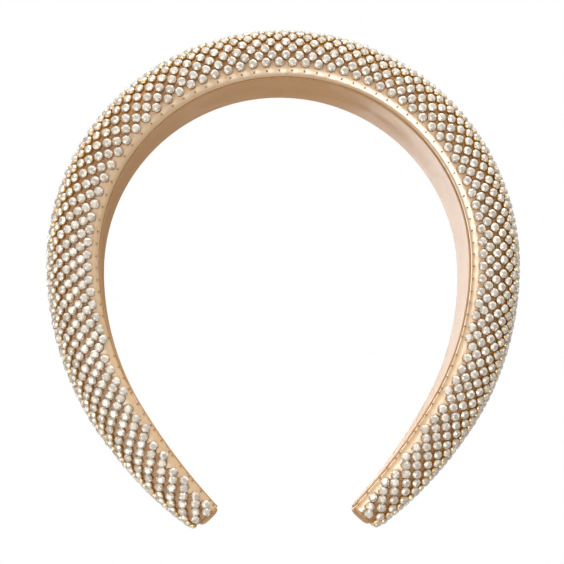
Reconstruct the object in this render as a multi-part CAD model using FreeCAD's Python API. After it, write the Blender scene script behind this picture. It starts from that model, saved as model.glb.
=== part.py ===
import FreeCAD, Part
import math
import os

# Padded crystal headband, crown up, as it sits on a head. Units are millimetres.
# X runs from side to side, -Y is the front edge of the band, +Z is up.
# The origin is the middle of the crown's inner face, where the head carries the band.
#
# The band is a closed section carried along an arch. A place on it is given by three numbers:
# s, the distance along the inner face from the apex (positive towards +X);
# y, across the band; and r, the height above the inner face, along the arch's outward normal.
#
# The hoop of a real band bends all along its length. Here the bend is gathered at one line on
# each shoulder, so every layer is cut there into a crown length and two arm lengths.

# Arch of the inner face: three tangent arcs per side, from the apex to the tip
CROWN_RADIUS = 60.0
CROWN_SWEEP = math.radians(90.0)
CHEEK_RADIUS = 88.5
CHEEK_SWEEP = math.radians(31.0)
JAW_RADIUS = 200.0
JAW_SWEEP = math.radians(12.5)

# Outside size of the band, over the stones
CROWN_WIDTH = 40.0
TIP_WIDTH = 16.0
WIDTH_POWER = 3.0
CROWN_THICKNESS = 18.7
TIP_THICKNESS = 11.2
THICKNESS_POWER = 6.0
SECTION_POWER = 3.0
SECTION_POINTS = 23
# The sides are upright at this height, and below it they round in towards the lining
SIDE_LEVEL = 3.2
SIDE_ROUNDING = 2.0

# Layers, from the stones down to the inner face. An inset is measured in from the outside size.
STONE_HEIGHT = 1.0
CUP_HEIGHT = 0.8
GLUE_GAP = 0.05
CUP_LIFT = 0.12
NET_THICKNESS = 0.35
SATIN_THICKNESS = 0.5
FOAM_CLEARANCE = 0.15
HOOP_THICKNESS = 1.6
LINING_THICKNESS = 0.5
FOLD_THICKNESS = 0.4
FOLD_DEPTH = 6.0
FOLD_DEPTH_SHARE = 0.6
HOOP_WIDTH_SHARE = 0.8
LINING_SIDE_MARGIN = 2.4
NET_EDGE_LEVEL = 3.4

NET_INSET = STONE_HEIGHT + CUP_HEIGHT + CUP_LIFT + GLUE_GAP
COVER_INSET = NET_INSET + NET_THICKNESS + 2.0 * GLUE_GAP
FOAM_INSET = COVER_INSET + SATIN_THICKNESS + FOAM_CLEARANCE
FOLD_LEVEL = LINING_THICKNESS + 0.1
HOOP_LEVEL = FOLD_LEVEL + FOLD_THICKNESS + 0.2
FOAM_LEVEL = HOOP_LEVEL + HOOP_THICKNESS + 0.2

# Rhinestone mesh: staggered rows that run along the band
STONE_ROW_PITCH = 2.33
STONE_COLUMN_PITCH = 2.6
STONE_RADIUS = 1.35
STONE_TABLE_RADIUS = 0.8
CUP_RADIUS = 1.42
STONE_EDGE_MARGIN = 0.8

# Stitches that hold the mesh down, one beside each edge stone
STITCH_RADIUS = 0.18
STITCH_LIFT = 0.2
STITCH_LEVEL = 1.2
STITCH_TOP_LEVEL = 2.0

# Shoulder lines where the bend is gathered
SHOULDER_ANGLE = math.radians(45.0)
SHOULDER_GAP = 0.3
SHOULDER_SQUEEZE = math.radians(3.6)
SHOULDER_PIVOT_LIFT = 0.3

# Satin wraps that close the tips
TIP_WRAP_LENGTH = 1.4
TIP_WRAP_STEPS = ((0.0, 0.0), (0.6, 0.4), (1.0, 1.4))

STATION_SPACING = 8.0
CURVE_STEPS = 240
# Steps either side of a point, along the band and round the dome, that give the direction outwards
SLOPE_STEP = 0.5
SLOPE_TURN = 0.01

Vec = FreeCAD.Vector


def arch_arcs():
    """Return each arc as (length, radius, first angle, centre x, centre z), apex to tip."""
    arcs = []
    angle = 0.0
    centre_x = 0.0
    centre_z = -CROWN_RADIUS
    last_radius = CROWN_RADIUS
    sizes = ((CROWN_RADIUS, CROWN_SWEEP), (CHEEK_RADIUS, CHEEK_SWEEP), (JAW_RADIUS, JAW_SWEEP))
    for radius, sweep in sizes:
        centre_x -= (radius - last_radius) * math.sin(angle)
        centre_z -= (radius - last_radius) * math.cos(angle)
        arcs.append((radius * sweep, radius, angle, centre_x, centre_z))
        angle += sweep
        last_radius = radius
    return arcs


ARCS = arch_arcs()
ARCH_LENGTH = sum(arc[0] for arc in ARCS)
BAND_LENGTH = ARCH_LENGTH - TIP_WRAP_LENGTH
SHOULDER = CROWN_RADIUS * SHOULDER_ANGLE


def arch_at(s):
    """Return x, z, normal angle and radius of the inner face at s; the angle is 0 straight up."""
    left = abs(s)
    for length, radius, first_angle, centre_x, centre_z in ARCS:
        if left <= length or radius == JAW_RADIUS:
            angle = first_angle + left / radius
            x = centre_x + radius * math.sin(angle)
            z = centre_z + radius * math.cos(angle)
            side = math.copysign(1.0, s)
            return side * x, z, side * angle, radius
        left -= length


def place(s, y, r, shift=0.0):
    """Return the point at s, y, r, moved by shift along the arch."""
    x, z, angle, _ = arch_at(s)
    out = Vec(math.sin(angle), 0.0, math.cos(angle))
    along = Vec(math.cos(angle), 0.0, -math.sin(angle))
    return Vec(x, y, z) + out * r + along * shift


def taper(s, crown_size, tip_size, power):
    """Return a size that eases from the crown's value to the tip's."""
    share = min(abs(s) / ARCH_LENGTH, 1.0)
    return tip_size + (crown_size - tip_size) * (1.0 - share ** power)


def half_width(s, inset):
    """Return half the band's width at s, inside the given inset."""
    return taper(s, CROWN_WIDTH, TIP_WIDTH, WIDTH_POWER) / 2.0 - inset


def crest(s, inset):
    """Return the band's height over the inner face at s, inside the given inset."""
    return taper(s, CROWN_THICKNESS, TIP_THICKNESS, THICKNESS_POWER) - inset


def dome_point(s, inset, turn):
    """Return (y, r) on the outline; turn is 0 where the back side is upright, pi at the front."""
    power = 2.0 / SECTION_POWER
    cosine = math.cos(turn)
    sine = math.sin(turn)
    if sine < 0.0:
        y = math.copysign(half_width(s, inset) - SIDE_ROUNDING * (1.0 - abs(cosine)), cosine)
        return y, SIDE_LEVEL * (1.0 + sine)
    y = half_width(s, inset) * math.copysign(abs(cosine) ** power, cosine)
    r = SIDE_LEVEL + (crest(s, inset) - SIDE_LEVEL) * sine ** power
    return y, r


def foot_turn(s, inset, level):
    """Return the turn at which the outline's back side is at the given level."""
    if level < SIDE_LEVEL:
        return -math.asin(1.0 - level / SIDE_LEVEL)
    share = (level - SIDE_LEVEL) / (crest(s, inset) - SIDE_LEVEL)
    return math.asin(share ** (SECTION_POWER / 2.0))


def shoulder_shift(r, lean):
    """Return how far the cut face at a shoulder stands back from the shoulder line at height r."""
    pivot = CROWN_THICKNESS + SHOULDER_PIVOT_LIFT
    return lean * (SHOULDER_GAP / 2.0 + (pivot - r) * math.tan(SHOULDER_SQUEEZE / 2.0))


def dome_edge(s, inset, level, lean, from_back):
    """Return the curved edge of a section, from one foot at the given level to the other."""
    start = foot_turn(s, inset, level)
    turns = []
    for index in range(SECTION_POINTS):
        share = index / (SECTION_POINTS - 1.0)
        turns.append(start + share * (math.pi - 2.0 * start))
    if not from_back:
        turns.reverse()
    points = []
    for turn in turns:
        y, r = dome_point(s, inset, turn)
        points.append(place(s, y, r, shoulder_shift(r, lean)))
    knots = [index / (SECTION_POINTS - 1.0) for index in range(SECTION_POINTS)]
    curve = Part.BSplineCurve()
    curve.interpolate(Points=points, Parameters=knots)
    return curve.toShape()


def straight_edges(s, corners, lean, first, last):
    """Return straight edges from the first point through (y, r) corners to the last point."""
    points = [first]
    for y, r in corners:
        points.append(place(s, y, r, shoulder_shift(r, lean)))
    points.append(last)
    edges = []
    for start, end in zip(points, points[1:]):
        edges.append(Part.LineSegment(start, end).toShape())
    return edges


def edge_ends(edge):
    """Return the first and last points of an edge, in the direction it was drawn."""
    return edge.valueAt(edge.FirstParameter), edge.valueAt(edge.LastParameter)


def dome_section(s, inset, level, lean):
    """Return the closed outline of a solid dome standing on the given level."""
    dome = dome_edge(s, inset, level, lean, True)
    back, front = edge_ends(dome)
    return Part.Wire([dome] + straight_edges(s, [], lean, front, back))


def shell_section(s, inset, thickness, level, lean):
    """Return the closed outline of a sheet bent over the dome, open towards the head."""
    outer = dome_edge(s, inset, level, lean, True)
    inner = dome_edge(s, inset + thickness, level, lean, False)
    outer_back, outer_front = edge_ends(outer)
    inner_front, inner_back = edge_ends(inner)
    front = straight_edges(s, [], lean, outer_front, inner_front)
    back = straight_edges(s, [], lean, inner_back, outer_back)
    return Part.Wire([outer] + front + [inner] + back)


def cover_section(s, lean):
    """Return the satin cover's outline: a sheet over the foam with both edges folded in."""
    top = FOLD_LEVEL + FOLD_THICKNESS
    outer = dome_edge(s, COVER_INSET, FOLD_LEVEL, lean, True)
    inner = dome_edge(s, COVER_INSET + SATIN_THICKNESS, top, lean, False)
    outer_back, outer_front = edge_ends(outer)
    inner_front, inner_back = edge_ends(inner)
    reach = half_width(s, COVER_INSET)
    fold = reach - min(FOLD_DEPTH, FOLD_DEPTH_SHARE * reach)
    front = straight_edges(s, [(-fold, FOLD_LEVEL), (-fold, top)], lean, outer_front, inner_front)
    back = straight_edges(s, [(fold, top), (fold, FOLD_LEVEL)], lean, inner_back, outer_back)
    return Part.Wire([outer] + front + [inner] + back)


def strip_section(s, side_margin, level, thickness, lean):
    """Return the outline of a flat strip that lies along the inner face."""
    reach = half_width(s, COVER_INSET) - side_margin
    corners = [(reach, level), (reach, level + thickness), (-reach, level + thickness), (-reach, level)]
    points = [place(s, y, r, shoulder_shift(r, lean)) for y, r in corners]
    return Part.makePolygon(points + [points[0]])


def stations(start, end):
    """Return evenly spaced places from start to end, both included."""
    count = max(2, int(math.ceil(abs(end - start) / STATION_SPACING)))
    return [start + (end - start) * index / count for index in range(count + 1)]


def carried(section, start, end):
    """Return the solid made by carrying section(s, lean) from start to end along the arch."""
    wires = []
    for s in stations(start, end):
        lean = 0.0
        if abs(abs(s) - SHOULDER) < 1e-6:
            inward = -1.0 if abs(start + end) < 1e-6 else 1.0
            lean = inward * math.copysign(1.0, s)
        wires.append(section(s, lean))
    return Part.makeLoft(wires, True, False)


BODIES = {
    "crown": (-SHOULDER, SHOULDER),
    "left_arm": (-SHOULDER, -BAND_LENGTH),
    "right_arm": (SHOULDER, BAND_LENGTH),
}


def hoop(s, lean):
    """Return the plastic hoop's section."""
    margin = half_width(s, COVER_INSET) * (1.0 - HOOP_WIDTH_SHARE)
    return strip_section(s, margin, HOOP_LEVEL, HOOP_THICKNESS, lean)


def lining(s, lean):
    """Return the lining ribbon's section."""
    return strip_section(s, LINING_SIDE_MARGIN, 0.0, LINING_THICKNESS, lean)


def foam(s, lean):
    """Return the foam pad's section."""
    return dome_section(s, FOAM_INSET, FOAM_LEVEL, lean)


def net(s, lean):
    """Return the mesh net's section."""
    return shell_section(s, NET_INSET, NET_THICKNESS, NET_EDGE_LEVEL, lean)


def crest_columns():
    """Return the s of each half column of stones, evenly spaced along the crest, apex to tip."""
    columns = []
    s = 0.0
    while s < BAND_LENGTH - CUP_RADIUS:
        columns.append(s)
        _, _, _, radius = arch_at(s)
        s += STONE_COLUMN_PITCH * radius / (radius + crest(s, NET_INSET))
    return columns


def net_point(s, turn):
    """Return the point on the net at s and turn."""
    y, r = dome_point(s, NET_INSET, turn)
    return place(s, y, r)


def net_outward(s, turn):
    """Return the direction straight out of the net at s and turn."""
    along = net_point(s + SLOPE_STEP, turn) - net_point(s - SLOPE_STEP, turn)
    across = net_point(s, turn + SLOPE_TURN) - net_point(s, turn - SLOPE_TURN)
    return across.cross(along).normalize()


def row_turns(s):
    """Return [(row number, turn)] for the rows of stones that fit across the net at s."""
    start = foot_turn(s, NET_INSET, NET_EDGE_LEVEL)
    turns = [math.pi / 2.0 + (start - math.pi / 2.0) * k / CURVE_STEPS for k in range(CURVE_STEPS + 1)]
    outline = [dome_point(s, NET_INSET, turn) for turn in turns]
    travelled = [0.0]
    for (y0, r0), (y1, r1) in zip(outline, outline[1:]):
        travelled.append(travelled[-1] + math.hypot(y1 - y0, r1 - r0))
    rows = []
    row = 0
    index = 1
    while row * STONE_ROW_PITCH <= travelled[-1] - STONE_EDGE_MARGIN:
        while travelled[index] < row * STONE_ROW_PITCH:
            index += 1
        share = (row * STONE_ROW_PITCH - travelled[index - 1]) / (travelled[index] - travelled[index - 1])
        turn = turns[index - 1] + (turns[index] - turns[index - 1]) * share
        rows.append((row, turn))
        if row:
            rows.append((-row, math.pi - turn))
        row += 1
    return rows


def body_of(s):
    """Return the body that carries a cup at s, or None where the cup would cross a shoulder."""
    clear = CUP_RADIUS + SHOULDER_GAP + shoulder_shift(NET_EDGE_LEVEL, 1.0)
    if abs(abs(s) - SHOULDER) < clear:
        return None
    if abs(s) < SHOULDER:
        return "crown"
    return "right_arm" if s > 0.0 else "left_arm"


def stone_seats():
    """Return {body: [(centre on the net, outward direction)]} for every stone of the mesh."""
    seats = {body: [] for body in BODIES}
    for number, distance in enumerate(crest_columns()):
        sides = (1.0,) if number == 0 else (1.0, -1.0)
        for side in sides:
            s = side * distance
            body = body_of(s)
            if body is None:
                continue
            for row, turn in row_turns(s):
                if (row + number) % 2 == 0:
                    seats[body].append((net_point(s, turn), net_outward(s, turn)))
    return seats


def cups_on(seats):
    """Return the metal cups as one group of solids."""
    cups = []
    for centre, outward in seats:
        cups.append(Part.makeCylinder(CUP_RADIUS, CUP_HEIGHT, centre + outward * CUP_LIFT, outward))
    return Part.Compound(cups)


def stones_on(seats):
    """Return the glass stones as one group of solids, each seated on its cup."""
    lift = CUP_LIFT + CUP_HEIGHT + GLUE_GAP
    stones = []
    for centre, outward in seats:
        stones.append(
            Part.makeCone(STONE_RADIUS, STONE_TABLE_RADIUS, STONE_HEIGHT, centre + outward * lift, outward)
        )
    return Part.Compound(stones)


def stitches_on(body):
    """Return the stitches below both edges of the net, as one group of solids."""
    stitches = []
    for number, distance in enumerate(crest_columns()):
        if number % 2:
            continue
        sides = (1.0,) if number == 0 else (1.0, -1.0)
        for side in sides:
            s = side * distance
            if body_of(s) != body:
                continue
            low_y, low_r = dome_point(s, COVER_INSET, foot_turn(s, COVER_INSET, STITCH_LEVEL))
            high_y, high_r = dome_point(s, COVER_INSET, foot_turn(s, COVER_INSET, STITCH_TOP_LEVEL))
            lift = STITCH_RADIUS + STITCH_LIFT
            for edge in (1.0, -1.0):
                foot = place(s, edge * (low_y + lift), low_r)
                head = place(s, edge * (high_y + lift), high_r)
                length = (head - foot).Length
                stitches.append(Part.makeCylinder(STITCH_RADIUS, length, foot, head - foot))
    return Part.Compound(stitches)


def tip_wrap(side):
    """Return the satin wrap that closes one tip, a D-shaped cap with a rounded end."""
    wires = []
    for reach, inset in TIP_WRAP_STEPS:
        s = side * (BAND_LENGTH + GLUE_GAP + reach * (TIP_WRAP_LENGTH - GLUE_GAP))
        level = LINING_THICKNESS / 2.0 + inset / 2.0
        wires.append(dome_section(s, COVER_INSET + inset, level, 0.0))
    return Part.makeLoft(wires, True, False)


def export(node, shape):
    """Write one node's shape as a STEP file and print its size."""
    shape.exportStep(os.path.join("parts", node + ".step"))
    print(node, len(shape.Solids), "solids", round(shape.Volume, 1), "mm3", shape.isValid())


def main():
    """Build every node and write it."""
    os.makedirs("parts", exist_ok=True)
    layers = (
        ("spring_hoop", hoop),
        ("foam_pad", foam),
        ("satin_cover", cover_section),
        ("lining_ribbon", lining),
        ("mesh_net", net),
    )
    seats = stone_seats()
    for body, (start, end) in BODIES.items():
        for layer, section in layers:
            export(layer + "_" + body, carried(section, start, end))
        export("setting_cups_" + body, cups_on(seats[body]))
        export("stones_" + body, stones_on(seats[body]))
        export("edge_stitches_" + body, stitches_on(body))
    export("tip_wrap_left", tip_wrap(-1.0))
    export("tip_wrap_right", tip_wrap(1.0))
    shoulder_top = place(SHOULDER, 0.0, CROWN_THICKNESS + SHOULDER_PIVOT_LIFT)
    print("shoulder pivot", shoulder_top)
    print("stones", sum(len(group) for group in seats.values()))


main()
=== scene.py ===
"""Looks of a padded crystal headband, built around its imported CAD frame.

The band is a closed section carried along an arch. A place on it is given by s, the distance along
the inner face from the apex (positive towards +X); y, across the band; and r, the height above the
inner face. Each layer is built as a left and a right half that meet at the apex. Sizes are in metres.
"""

import logging
import math
from dataclasses import dataclass
from enum import Enum
from typing import Any

import bpy
import numpy as np
from mathutils import Matrix, Vector


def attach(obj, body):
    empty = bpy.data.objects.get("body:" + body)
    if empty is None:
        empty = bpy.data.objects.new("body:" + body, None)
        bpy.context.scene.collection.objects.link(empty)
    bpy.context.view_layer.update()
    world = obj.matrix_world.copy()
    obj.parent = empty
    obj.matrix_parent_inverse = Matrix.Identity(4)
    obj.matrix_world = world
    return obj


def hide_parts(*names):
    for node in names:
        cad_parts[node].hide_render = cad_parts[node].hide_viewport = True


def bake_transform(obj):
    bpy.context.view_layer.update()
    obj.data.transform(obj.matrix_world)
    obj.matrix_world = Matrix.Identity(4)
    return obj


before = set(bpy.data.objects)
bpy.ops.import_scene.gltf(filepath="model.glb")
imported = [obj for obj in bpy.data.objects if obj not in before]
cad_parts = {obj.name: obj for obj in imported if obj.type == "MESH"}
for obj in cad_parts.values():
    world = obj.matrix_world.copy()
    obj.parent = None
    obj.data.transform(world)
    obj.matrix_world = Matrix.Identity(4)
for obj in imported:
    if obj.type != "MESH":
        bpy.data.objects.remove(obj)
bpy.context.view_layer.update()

MM = 0.001
SEED = 20
LOG = logging.getLogger("headband")

Array = np.ndarray
Piece = bpy.types.Object
Face = tuple[int, ...]


class Side(Enum):
    """A half of the band, with the sign of its s."""

    LEFT = -1.0
    RIGHT = 1.0

    @property
    def word(self) -> str:
        """Return the side's name as the node names spell it."""
        return self.name.lower()

    @property
    def arm(self) -> str:
        """Return the name of the arm's body."""
        return self.word + "_arm"


class Hold(Enum):
    """How a sheet of cloth is held on the band."""

    STRETCHED = "stretched"
    LAID = "laid"


class Facet(Enum):
    """The kinds of facet on a cut stone, with the range of their painted reflection tone."""

    TABLE = (0.22, 0.5)
    STAR = (0.35, 0.85)
    KITE = (0.25, 1.0)
    GIRDLE = (0.1, 1.0)
    BACK = (0.0, 0.1)


# ---------------------------------------------------------------- shape of the band


@dataclass(frozen=True)
class Arch:
    """The inner face's line: three tangent arcs per side, from the apex to the tip."""

    radii: tuple[float, ...] = (60.0 * MM, 88.5 * MM, 200.0 * MM)
    sweeps_deg: tuple[float, ...] = (90.0, 31.0, 12.5)

    @property
    def length(self) -> float:
        """Return the distance from the apex to one end."""
        return sum(radius * math.radians(sweep) for radius, sweep in zip(self.radii, self.sweeps_deg))

    def at(self, s: Array) -> tuple[Array, Array, Array, Array]:
        """Find the inner face at s.

        Args:
            s: distances along the inner face.

        Returns:
            x, z, the outward normal's angle from straight up, and the arc's radius.
        """
        s = np.asarray(s, float)
        side = np.where(s < 0.0, -1.0, 1.0)
        distance = np.abs(s)
        x, z, angle, bend = (np.zeros_like(distance) for _ in range(4))
        start = first = centre_x = 0.0
        last = self.radii[0]
        centre_z = -last
        for radius, sweep_deg in zip(self.radii, self.sweeps_deg):
            centre_x -= (radius - last) * math.sin(first)
            centre_z -= (radius - last) * math.cos(first)
            here = distance >= start
            turn = first + (distance - start) / radius
            x = np.where(here, centre_x + radius * np.sin(turn), x)
            z = np.where(here, centre_z + radius * np.cos(turn), z)
            angle = np.where(here, turn, angle)
            bend = np.where(here, radius, bend)
            start += radius * math.radians(sweep_deg)
            first += math.radians(sweep_deg)
            last = radius
        return side * x, z, side * angle, bend


@dataclass(frozen=True)
class Band:
    """The band's outside size over the stones, and the outline that every layer follows."""

    arch: Arch = Arch()
    crown_width: float = 40.0 * MM
    tip_width: float = 16.0 * MM
    width_power: float = 3.0
    crown_thickness: float = 18.7 * MM
    tip_thickness: float = 11.2 * MM
    thickness_power: float = 6.0
    section_power: float = 3.0
    side_level: float = 3.2 * MM
    fold_level: float = 0.6 * MM
    side_rounding: float = 2.0 * MM
    wrap_length: float = 1.4 * MM
    tip_round_length: float = 4.5 * MM
    tip_round_depth: float = 3.2 * MM
    tip_round_share: float = 0.97
    bend_from_deg: float = 12.0
    bend_to_deg: float = 85.0
    bend_level: float = 10.0 * MM

    @property
    def end(self) -> float:
        """Return the s at which the layers stop and the tip wrap starts."""
        return self.arch.length - self.wrap_length

    def eased(self, s: Array, crown: float, tip: float, power: float) -> Array:
        """Return a size that eases from the crown's value to the tip's."""
        share = np.minimum(np.abs(s) / self.arch.length, 1.0)
        return tip + (crown - tip) * (1.0 - share ** power)

    def half_width(self, s: Array, inset: float) -> Array:
        """Return half the width at s, inside the inset."""
        return self.eased(s, self.crown_width, self.tip_width, self.width_power) / 2.0 - inset

    def crest(self, s: Array, inset: float) -> Array:
        """Return the height at s, inside the inset, with the tip's crest rounded off."""
        past = (np.abs(s) - self.arch.length) / self.tip_round_length + 1.0
        past = np.clip(past, 0.0, self.tip_round_share)
        rounding = self.tip_round_depth * (1.0 - np.sqrt(1.0 - past ** 2))
        height = self.eased(s, self.crown_thickness, self.tip_thickness, self.thickness_power)
        return height - inset - rounding

    def half_outline(
        self, s: Array, inset: float, dome_steps: int, side_steps: int
    ) -> tuple[Array, Array]:
        """Follow the outline from the crest down one side to the fold line.

        Args:
            s: places along the band, one per row of the result.
            inset: depth below the outside size.
            dome_steps: steps over the dome.
            side_steps: steps round the side, below the dome.

        Returns:
            y and r, each with a row per place and a column per point.
        """
        s = np.atleast_1d(np.asarray(s, float))[:, None]
        share = np.linspace(0.0, 1.0, dome_steps + 1)
        # The steps close up at the crest and at the side, where the points would else spread
        warp = share ** 1.5 / (share ** 1.5 + (1.0 - share) ** 1.5)
        turn = warp * math.pi / 2.0
        power = 2.0 / self.section_power
        reach = self.half_width(s, inset)
        dome_y = reach * np.abs(np.sin(turn)) ** power
        rise = self.crest(s, inset) - self.side_level
        dome_r = self.side_level + rise * np.abs(np.cos(turn)) ** power
        turn = np.linspace(0.0, math.pi / 2.0, side_steps + 1)[1:]
        side_y = reach - self.side_rounding * (1.0 - np.cos(turn))
        side_r = self.side_level - (self.side_level - self.fold_level) * np.sin(turn) + 0.0 * reach
        return np.hstack([dome_y, side_y]), np.hstack([dome_r, side_r])

    def place(self, s: Array, y: Array, r: Array) -> Array:
        """Return the points at s, y, r, with x, y, z last."""
        x, z, angle, _ = self.arch.at(s)
        return np.stack(np.broadcast_arrays(x + r * np.sin(angle), y, z + r * np.cos(angle)), axis=-1)

    def follow(self, piece: Piece, side: Side) -> None:
        """Bake a half's piece's transform into its mesh; the ends of the bend between the crown and its
        arm are worked out but not used.
        """
        radius = side.value * self.arch.radii[0]
        turns = (self.bend_from_deg, self.bend_to_deg)
        start_s, end_s = (radius * math.radians(turn) for turn in turns)
        start = self.place(start_s, 0.0, self.bend_level)
        end = self.place(end_s, 0.0, self.bend_level)
        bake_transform(piece)


@dataclass(frozen=True)
class Layers:
    """Depths of the layers below the outside size, and levels above the inner face."""

    net_inset: float = 1.97 * MM
    cover_inset: float = 2.42 * MM
    foam_inset: float = 3.07 * MM
    hoop_level: float = 1.2 * MM
    hoop_thickness: float = 1.6 * MM
    foam_level: float = 3.0 * MM
    net_edge_level: float = 2.6 * MM
    # Cloth over the dome runs about a fifth longer than the inner face below it
    dome_growth: float = 1.2


BAND = Band()
LAYERS = Layers()


class Ruler:
    """Arc lengths over the dome: w is the distance from the crest, positive towards the back."""

    def __init__(self, s: Array, inset: float) -> None:
        """Measure the outline at each s.

        Args:
            s: places along the band.
            inset: depth below the outside size.
        """
        self.y, self.r = BAND.half_outline(s, inset, dome_steps=120, side_steps=24)
        steps = np.hypot(np.diff(self.y, axis=1), np.diff(self.r, axis=1))
        self.w = np.hstack([np.zeros((len(self.y), 1)), np.cumsum(steps, axis=1)])

    def reach_to(self, level: float) -> Array:
        """Return the w at which each outline comes down to the level."""
        return np.array([np.interp(-level, -r, w) for r, w in zip(self.r, self.w)])

    def points(self, row: int, w: Array) -> tuple[Array, Array]:
        """Return y and r at distances w on one outline."""
        distance = np.abs(w)
        y = np.interp(distance, self.w[row], self.y[row]) * np.sign(w)
        return y, np.interp(distance, self.w[row], self.r[row])


# ---------------------------------------------------------------- meshes


def outward(y: Array, r: Array) -> tuple[Array, Array]:
    """Find the unit normals of section lines that run front to back over the crest.

    Args:
        y: places across the band, a section per row.
        r: heights, a section per row.

    Returns:
        The normals' y and r parts.
    """
    along_y, along_r = np.gradient(y, axis=1), np.gradient(r, axis=1)
    size = np.hypot(along_y, along_r) + 1e-12
    return -along_r / size, along_y / size


def both_sides(y: Array, r: Array) -> tuple[Array, Array]:
    """Return the whole section line, front to back, from its back half."""
    return np.hstack([-y[:, :0:-1], y]), np.hstack([r[:, :0:-1], r])


def cloth_map(s: Array, w: Array) -> Array:
    """Return each point's place on the cloth, from its s and its distance across."""
    return np.stack([np.broadcast_to(s, w.shape), w], axis=-1)


def stations(side: Side, end: float, spacing: float) -> Array:
    """List the places of a half's sections.

    Args:
        side: the half.
        end: the last place.
        spacing: distance between sections.

    Returns:
        Places from the apex to the end, with one close to the apex, so that both halves shade
        alike there.
    """
    count = math.ceil(end / spacing)
    even = np.linspace(0.0, end, count + 1)
    return side.value * np.insert(even, 1, 0.1 * MM)


def new_piece(
    name: str,
    points: Array,
    faces: list[Face],
    smooth: bool = True,
    uv: Array | None = None,
    flat_from: int | None = None,
) -> Piece:
    """Make a mesh object.

    Args:
        name: the piece's name.
        points: its points.
        faces: its faces, as indices of points.
        smooth: whether the faces shade smoothly.
        uv: places of the points on the cloth, in metres.
        flat_from: the first of the faces that shade flat all the same.

    Returns:
        The object, linked to the scene.
    """
    mesh = bpy.data.meshes.new(name)
    mesh.from_pydata(points.reshape(-1, 3).tolist(), [], faces)
    shading = np.full(len(faces), smooth)
    if flat_from is not None:
        shading[flat_from:] = False
    mesh.polygons.foreach_set("use_smooth", shading)
    if uv is not None:
        corners = np.empty(len(mesh.loops), np.int32)
        mesh.loops.foreach_get("vertex_index", corners)
        layer = mesh.uv_layers.new(name="cloth")
        layer.data.foreach_set("uv", uv[corners].astype(np.float32).ravel())
    mesh.validate()
    piece = bpy.data.objects.new(name, mesh)
    bpy.context.scene.collection.objects.link(piece)
    return piece


def closed_sheet(name: str, top: Array, under: Array, cloth: Array | None = None) -> Piece:
    """Make a closed mesh from two grids of points.

    Args:
        name: the piece's name.
        top: the outer surface, a section per row.
        under: the inner surface, with the same rows and columns.
        cloth: places on the cloth, in metres, for each point of a grid.

    Returns:
        The object; its rim shades flat, so that the two surfaces keep their own shading.
    """
    rows, columns = top.shape[:2]
    count = rows * columns
    index = np.arange(count).reshape(rows, columns)
    corners = [index[:-1, :-1], index[:-1, 1:], index[1:, 1:], index[1:, :-1]]
    quads = np.stack(corners, axis=-1).reshape(-1, 4)
    ring = np.concatenate([index[0, :-1], index[:-1, -1], index[-1, :0:-1], index[:0:-1, 0]])
    after = np.roll(ring, -1)
    rim = np.stack([after, ring, ring + count, after + count], axis=-1)
    points = np.concatenate([top.reshape(-1, 3), under.reshape(-1, 3)])
    faces = np.concatenate([quads, quads[:, ::-1] + count, rim])
    corner = points[faces]
    normal = np.cross(corner[:, 2] - corner[:, 0], corner[:, 3] - corner[:, 1])
    if np.einsum("ij,ij->", corner.mean(axis=1) - points.mean(axis=0), normal) < 0.0:
        faces = faces[:, ::-1]
    uv = None if cloth is None else np.concatenate([cloth.reshape(-1, 2)] * 2)
    return new_piece(name, points, faces.tolist(), uv=uv, flat_from=2 * len(quads))


def stamped(template: Array, faces: list[Face], places: Array, turns: Array) -> tuple[Array, list[Face]]:
    """Copy a small mesh to many places.

    Args:
        template: the small mesh's points.
        faces: its faces.
        places: where each copy's origin goes.
        turns: each copy's 3x3 rotation.

    Returns:
        All the points, and all the faces.
    """
    points = np.einsum("nij,vj->nvi", turns, template) + places[:, None, :]
    size = len(template)
    firsts = [size * number for number in range(len(places))]
    copies = [tuple(first + corner for corner in face) for first in firsts for face in faces]
    return points.reshape(-1, 3), copies


def lathe(profile: list[tuple[float, float]], segments: int, prongs: Array) -> tuple[Array, list[Face]]:
    """Turn a profile into a closed mesh.

    Args:
        profile: radius and height, from the middle of the base to the middle of the top.
        segments: steps round the axis.
        prongs: for each segment, how far its rim leans in.

    Returns:
        Points and faces.
    """
    angle = np.arange(segments) * 2.0 * math.pi / segments
    rings = []
    for number, (radius, height) in enumerate(profile[1:-1]):
        # Only the three rings of the rim lean in
        lean = prongs if 2 <= number <= 4 else 0.0 * prongs
        reach, level = radius - lean, height + 0.6 * lean
        rings.append(np.stack([reach * np.cos(angle), reach * np.sin(angle), level], axis=-1))
    ends = [(0.0, 0.0, profile[0][1]), (0.0, 0.0, profile[-1][1])]
    points = np.concatenate(rings + [np.array(ends)])
    base, top = len(points) - 2, len(points) - 1
    faces: list[Face] = []
    for k in range(segments):
        following = (k + 1) % segments
        faces.append((base, following, k))
        for ring in range(len(rings) - 1):
            low, high = ring * segments, (ring + 1) * segments
            faces.append((low + k, low + following, high + following, high + k))
        last = (len(rings) - 1) * segments
        faces.append((top, last + k, last + following))
    return points, faces


# ---------------------------------------------------------------- finishes


def linear(colour: str) -> tuple[float, float, float, float]:
    """Turn an sRGB hex colour into linear RGBA."""
    parts = [int(colour[place:place + 2], 16) / 255.0 for place in (1, 3, 5)]
    red, green, blue = (
        part / 12.92 if part <= 0.04045 else ((part + 0.055) / 1.055) ** 2.4 for part in parts
    )
    return red, green, blue, 1.0


def per_metre(pitch: float) -> float:
    """Return a wave texture's scale for lines at the pitch, in metres."""
    return 2.0 * math.pi / (20.0 * pitch)


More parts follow.
